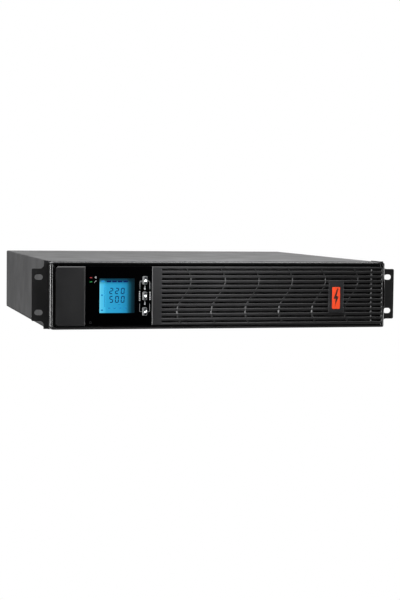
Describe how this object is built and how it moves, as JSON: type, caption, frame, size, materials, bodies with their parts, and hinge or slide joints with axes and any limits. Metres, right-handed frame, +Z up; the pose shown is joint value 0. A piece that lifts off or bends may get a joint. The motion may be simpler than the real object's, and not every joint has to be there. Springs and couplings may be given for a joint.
{
  "type": "uninterruptible power supply",
  "caption": "Rack-mount uninterruptible power supply, two units high, with a louvred front, a blue LCD, keys, rack ears and rear outlets.",
  "frame": {"origin": "centre of the bounding box's footprint, on the surface that the unit stands on", "axes": "+Z up, -Y out of the front panel, +X to the right as seen from the front"},
  "size_m": [0.4826, 0.4836, 0.0866],
  "materials": {
    "black_sheet": "fine-textured black powder coat",
    "black_ear": "black powder coat",
    "zinc": "zinc-plated steel",
    "circuit_board": "green solder mask on glass-fibre board",
    "aluminium": "plain extruded aluminium",
    "capacitor_sleeve": "dark blue heat-shrunk sleeve",
    "copper_winding": "enamelled copper wire",
    "fan_plastic": "black glass-filled plastic",
    "wire": "nickel-plated wire",
    "socket_plastic": "black moulded plastic",
    "grey_connector": "grey moulded plastic",
    "port_metal": "nickel-plated shells",
    "breaker_cap": "light grey moulded plastic",
    "panel_gloss": "glossy black plastic",
    "panel_matte": "satin black plastic with a fine grain",
    "foam": "open-cell black foam",
    "lcd": "blue backlit LCD with dark segments",
    "key_cap": "glossy black cap with a white symbol",
    "lamp_red": "red translucent lens",
    "lamp_green": "green translucent lens",
    "battery_case": "dark grey moulded battery case"
  },
  "bodies": {
    "chassis": {"base_pan": "black_sheet", "top_cover": "black_sheet", "front_bulkhead": "black_sheet", "bay_divider": "black_sheet", "rear_panel": "black_sheet", "rack_ear_left": "black_ear", "rack_ear_right": "black_ear", "ear_screw_left_1": "zinc", "ear_screw_left_2": "zinc", "ear_screw_left_3": "zinc", "ear_screw_right_1": "zinc", "ear_screw_right_2": "zinc", "ear_screw_right_3": "zinc", "power_board": "circuit_board", "control_board": "circuit_board", "heatsink_left": "aluminium", "heatsink_right": "aluminium", "bus_capacitor_1": "capacitor_sleeve", "bus_capacitor_2": "capacitor_sleeve", "input_inductor": "copper_winding", "output_inductor": "copper_winding", "fan_frame_left": "fan_plastic", "fan_guard_left": "wire", "fan_frame_right": "fan_plastic", "fan_guard_right": "wire", "mains_inlet": "socket_plastic", "outlet_strip_left": "socket_plastic", "outlet_strip_right": "socket_plastic", "breaker_body": "socket_plastic", "external_battery_port": "grey_connector", "serial_port": "port_metal", "usb_port": "port_metal", "network_ports": "socket_plastic", "option_slot_cover": "black_sheet", "slot_thumbscrew_1": "zinc", "slot_thumbscrew_2": "zinc", "ground_screw": "zinc"},
    "front_panel": {"panel_frame": "panel_gloss", "plain_panel": "panel_matte", "grille_panel": "panel_matte", "dust_filter": "foam", "badge_plate": "panel_matte", "display_housing": "panel_gloss", "display_window": "panel_gloss", "lcd_module": "lcd", "display_board": "circuit_board", "lamp_alarm": "lamp_red", "lamp_running": "lamp_green"},
    "battery_pack": {"battery_tray": "zinc", "battery_1": "battery_case", "battery_2": "battery_case", "battery_3": "battery_case", "battery_4": "battery_case", "pack_connector": "grey_connector"},
    "key_up": {"key_up": "key_cap"},
    "key_down": {"key_down": "key_cap"},
    "key_enter": {"key_enter": "key_cap"},
    "fan_rotor_left": {"fan_rotor_left": "fan_plastic"},
    "fan_rotor_right": {"fan_rotor_right": "fan_plastic"},
    "breaker_button": {"breaker_button": "breaker_cap"}
  },
  "joints": [
    {"name": "front_panel_pull", "type": "slide", "parent": "chassis", "child": "front_panel", "axis": [0, -1, 0], "range_m": [0, 0.34]},
    {"name": "battery_tray_slide", "type": "slide", "parent": "chassis", "child": "battery_pack", "axis": [0, -1, 0], "range_m": [0, 0.3]},
    {"name": "key_up_press", "type": "slide", "parent": "front_panel", "child": "key_up", "axis": [0, 1, 0], "range_m": [0, 0.0007], "stiffness_N_per_m": 1500, "springref_m": -0.0005},
    {"name": "key_down_press", "type": "slide", "parent": "front_panel", "child": "key_down", "axis": [0, 1, 0], "range_m": [0, 0.0007], "stiffness_N_per_m": 1500, "springref_m": -0.0005},
    {"name": "key_enter_press", "type": "slide", "parent": "front_panel", "child": "key_enter", "axis": [0, 1, 0], "range_m": [0, 0.0007], "stiffness_N_per_m": 1500, "springref_m": -0.0005},
    {"name": "fan_left_spin", "type": "hinge", "parent": "chassis", "child": "fan_rotor_left", "pos_m": [-0.172, 0.21675, 0.043], "axis": [0, 1, 0], "continuous": true},
    {"name": "fan_right_spin", "type": "hinge", "parent": "chassis", "child": "fan_rotor_right", "pos_m": [-0.088, 0.21675, 0.043], "axis": [0, 1, 0], "continuous": true},
    {"name": "breaker_trip", "type": "slide", "parent": "chassis", "child": "breaker_button", "axis": [0, 1, 0], "range_m": [0, 0.004]}
  ],
  "couplings": [
    {"joint": "front_panel_pull", "follows": "battery_tray_slide", "ratio": 1.1333}
  ]
}
